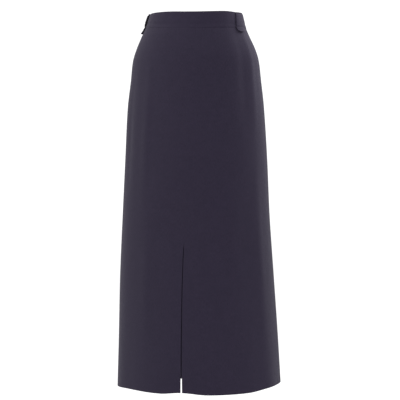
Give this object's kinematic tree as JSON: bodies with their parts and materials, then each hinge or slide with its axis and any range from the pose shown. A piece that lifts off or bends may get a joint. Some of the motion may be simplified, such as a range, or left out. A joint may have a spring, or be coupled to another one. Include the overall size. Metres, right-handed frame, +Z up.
{
  "type": "maxi skirt",
  "caption": "A-line maxi skirt in dark smooth worsted, filled out and open at waist and hem, with a contoured waistband, belt loops, a centre-front slit and a back zip.",
  "frame": {"origin": "centre of the waist, half way up the waistband, where the wearer holds the skirt", "axes": "+Z up the skirt, -Y towards the centre front, +X towards the wearer's left"},
  "size_m": [0.4249, 0.3213, 0.9607],
  "materials": {
    "worsted": "smooth matt worsted gabardine, dark aubergine navy, with a faint steep twill and a pale bloom where it turns away",
    "zip_tape": "woven polyester zip tape with a nylon coil, dark navy",
    "zip_metal": "dark lacquered zip slider and pull tab, low gloss"
  },
  "bodies": {
    "skirt": {"skirt_front": "worsted", "skirt_back_left": "worsted", "skirt_back_right": "worsted", "waistband_front": "worsted", "waistband_back_left": "worsted", "waistband_back_right": "worsted", "belt_loop_left": "worsted", "belt_loop_right": "worsted", "zip_tape_left": "zip_tape", "zip_tape_right": "zip_tape", "zip_slider": "zip_metal"},
    "pull": {"zip_pull": "zip_metal"}
  },
  "joints": [
    {"name": "zip_pull_hinge", "type": "hinge", "parent": "skirt", "child": "pull", "pos_m": [0.00149, 0.08819, 0.01285], "axis": [1, 0, 0], "range_deg": [0, 160]}
  ]
}
